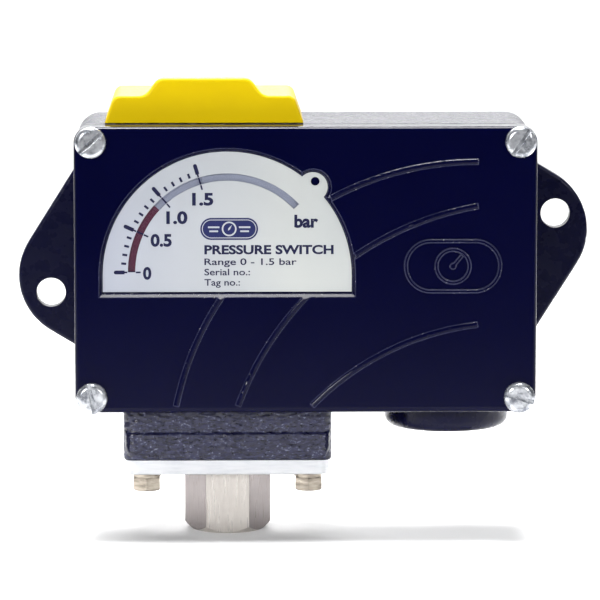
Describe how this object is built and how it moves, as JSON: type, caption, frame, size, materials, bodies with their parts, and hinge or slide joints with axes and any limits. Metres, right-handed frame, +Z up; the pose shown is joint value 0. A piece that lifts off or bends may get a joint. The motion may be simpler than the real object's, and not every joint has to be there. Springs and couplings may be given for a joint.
{
  "type": "pressure switch",
  "caption": "Wall-mounted pressure switch in a painted cast box with a set-point dial, a lift-off cap over its adjusting screws, a threaded pressure port below and a side cable entry.",
  "frame": {"origin": "on the wall face, midway between the two wall holes", "axes": "+X right, +Z up, +Y into the wall, the dial faces -Y"},
  "size_m": [0.1748, 0.0508, 0.139],
  "materials": {
    "painted_navy": "gloss",
    "seal_rubber": "matt",
    "screw_steel": "bright zinc",
    "dial_silver": "satin anodised",
    "clear_pane": "clear",
    "disc_grey": "satin",
    "cap_yellow": "satin gloss",
    "flange_aluminium": "machined",
    "bolt_steel": "plated",
    "port_stainless": "turned",
    "shaft_steel": "ground",
    "spring_steel": "drawn",
    "turned_brass": "turned",
    "plated_sheet": "zinc plated",
    "switch_black": "moulded",
    "plunger_red": "moulded",
    "block_grey": "moulded",
    "lead_insulation": "extruded"
  },
  "bodies": {
    "casing": {"housing": "painted_navy", "front_cover": "painted_navy", "cover_gasket": "seal_rubber", "diaphragm": "seal_rubber", "port_seal": "seal_rubber", "cover_screws": "screw_steel", "block_screws": "screw_steel", "bracket_screws": "screw_steel", "bridge_screws": "screw_steel", "switch_screws": "screw_steel", "terminal_screws": "screw_steel", "earth_screw": "screw_steel", "scale_plate": "dial_silver", "slot_window": "clear_pane", "flange_plate": "flange_aluminium", "flange_bolts": "bolt_steel", "spring_washers": "bolt_steel", "pressure_port": "port_stainless", "guide_rod": "shaft_steel", "lever_pin": "shaft_steel", "range_spring": "spring_steel", "differential_spring": "spring_steel", "indicator_bush": "turned_brass", "bridge_posts": "turned_brass", "spindle_bushes": "turned_brass", "rod_guide_bush": "turned_brass", "switch_terminals": "turned_brass", "indicator_bridge": "plated_sheet", "lever_bracket": "plated_sheet", "microswitch": "switch_black", "terminal_block": "block_grey", "internal_leads": "lead_insulation"},
    "cap": {"adjuster_cap": "cap_yellow"},
    "range_screw": {"range_spindle": "shaft_steel", "range_clip": "spring_steel"},
    "range_seat": {"range_nut": "turned_brass"},
    "indicator": {"indicator_disc": "disc_grey", "indicator_shaft": "shaft_steel", "indicator_pinion": "turned_brass"},
    "differential_screw": {"differential_spindle": "shaft_steel", "differential_clip": "spring_steel"},
    "differential_seat": {"differential_nut": "turned_brass"},
    "lever": {"main_lever": "plated_sheet"},
    "rod": {"push_rod": "shaft_steel", "support_plate": "shaft_steel"},
    "plunger": {"switch_plunger": "plunger_red"}
  },
  "joints": [
    {"name": "cap_lift", "type": "slide", "parent": "casing", "child": "cap", "axis": [0, 0, 1], "range_m": [0, 0.03]},
    {"name": "range_turn", "type": "hinge", "parent": "casing", "child": "range_screw", "pos_m": [-0.0234, -0.021, 0.045], "axis": [0, 0, -1], "range_deg": [-1333, 966]},
    {"name": "range_nut_travel", "type": "slide", "parent": "casing", "child": "range_seat", "axis": [0, 0, 1], "range_m": [-0.00268, 0.0037], "deforming": ["range_spring"]},
    {"name": "indicator_turn", "type": "hinge", "parent": "casing", "child": "indicator", "pos_m": [-0.0234, -0.034, -0.0006], "axis": [0, -1, 0], "range_deg": [-30.8, 42.5]},
    {"name": "differential_turn", "type": "hinge", "parent": "casing", "child": "differential_screw", "pos_m": [-0.046, -0.021, 0.045], "axis": [0, 0, -1], "range_deg": [-720.5, 720.5]},
    {"name": "differential_nut_travel", "type": "slide", "parent": "casing", "child": "differential_seat", "axis": [0, 0, 1], "range_m": [-0.002, 0.002], "deforming": ["differential_spring"]},
    {"name": "lever_tilt", "type": "hinge", "parent": "casing", "child": "lever", "pos_m": [-0.0575, -0.021, -0.027], "axis": [0, -1, 0], "range_deg": [0, 1.2], "stiffness_Nm_per_rad": 2, "springref_deg": -1.15},
    {"name": "rod_travel", "type": "slide", "parent": "casing", "child": "rod", "axis": [0, 0, 1], "range_m": [0, 0.00072]},
    {"name": "plunger_travel", "type": "slide", "parent": "casing", "child": "plunger", "axis": [0, 0, 1], "range_m": [0, 0.00123]}
  ],
  "couplings": [
    {"joint": "range_turn", "follows": "range_nut_travel", "rad_per_m": -6283.2},
    {"joint": "indicator_turn", "follows": "range_nut_travel", "rad_per_m": 200},
    {"joint": "differential_turn", "follows": "differential_nut_travel", "rad_per_m": -6283.2},
    {"joint": "rod_travel", "follows": "lever_tilt", "m_per_rad": 0.0341},
    {"joint": "plunger_travel", "follows": "lever_tilt", "m_per_rad": 0.0585}
  ]
}
